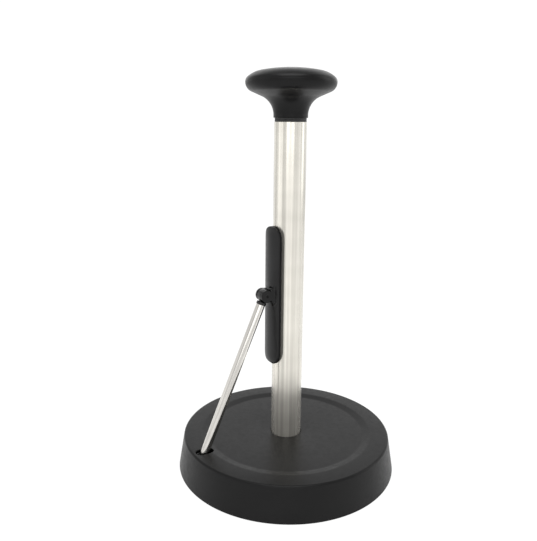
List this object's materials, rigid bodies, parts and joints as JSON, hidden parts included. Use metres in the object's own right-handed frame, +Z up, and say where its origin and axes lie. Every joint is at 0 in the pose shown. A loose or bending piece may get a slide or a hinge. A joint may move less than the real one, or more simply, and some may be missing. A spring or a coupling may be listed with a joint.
{
  "type": "paper towel holder",
  "caption": "Free-standing paper towel holder with a weighted round base, a steel pole, an unscrewing knob and a sprung arm with a pad that presses the roll.",
  "frame": {"origin": "centre of the foot ring's underside, on the surface the holder stands on", "axes": "+Z up along the pole, -X towards the arm's slot, Y across the arm"},
  "size_m": [0.2028, 0.2028, 0.361],
  "materials": {
    "cover_plastic": "satin black, fine moulded grain",
    "casting": "as cast",
    "plate_steel": "zinc plated",
    "foot_rubber": "matt",
    "fastener_steel": "zinc plated",
    "black_steel": "black oxide",
    "spring_steel": "drawn wire",
    "stainless": "drawn tube, fine lengthways lines",
    "knob_plastic": "satin black",
    "knuckle_plastic": "gloss black",
    "black_nylon": "matt black",
    "pad_plastic": "satin black",
    "pad_rubber": "matt"
  },
  "bodies": {
    "root": {"base_cover": "cover_plastic", "base_weight": "casting", "base_plate": "plate_steel", "foot_ring": "foot_rubber", "base_screws": "fastener_steel", "pole_tube": "stainless", "pole_foot": "fastener_steel", "tie_bolt": "fastener_steel", "tie_washer": "fastener_steel", "pole_top_insert": "black_nylon", "pivot_bracket": "plate_steel", "bracket_screws": "fastener_steel", "arm_pivot_pin": "fastener_steel", "pin_clips": "spring_steel", "arm_spring": "spring_steel", "spring_spacer": "black_nylon"},
    "arm": {"arm_hub": "black_nylon", "arm_tube": "stainless", "arm_head": "knuckle_plastic"},
    "pad": {"pad_shell": "pad_plastic", "pad_grip": "pad_rubber", "pad_pin": "black_steel"},
    "washer": {"knob_washer": "black_nylon"},
    "knob": {"knob_body": "knob_plastic", "knob_cap": "knob_plastic", "knob_stud": "black_nylon", "knob_screw": "fastener_steel"}
  },
  "joints": [
    {"name": "arm_swing", "type": "hinge", "parent": "root", "child": "arm", "pos_m": [-0.0883, 0, 0.024], "axis": [0, -1, 0], "range_deg": [0, 24], "stiffness_Nm_per_rad": 0.5, "springref_deg": -34.38, "deforming": ["arm_spring"]},
    {"name": "pad_tilt", "type": "hinge", "parent": "arm", "child": "pad", "pos_m": [-0.02478, 0, 0.16801], "axis": [0, -1, 0], "range_deg": [-24, 0]},
    {"name": "knob_rise", "type": "slide", "parent": "root", "child": "washer", "axis": [0, 0, 1], "range_m": [0, 0.016]},
    {"name": "knob_turn", "type": "hinge", "parent": "washer", "child": "knob", "pos_m": [0, 0, 0.3205], "axis": [0, 0, 1], "range_deg": [0, 720]}
  ],
  "couplings": [
    {"joint": "pad_tilt", "follows": "arm_swing", "ratio": -1},
    {"joint": "knob_rise", "follows": "knob_turn", "m_per_rad": 0.0012732}
  ]
}
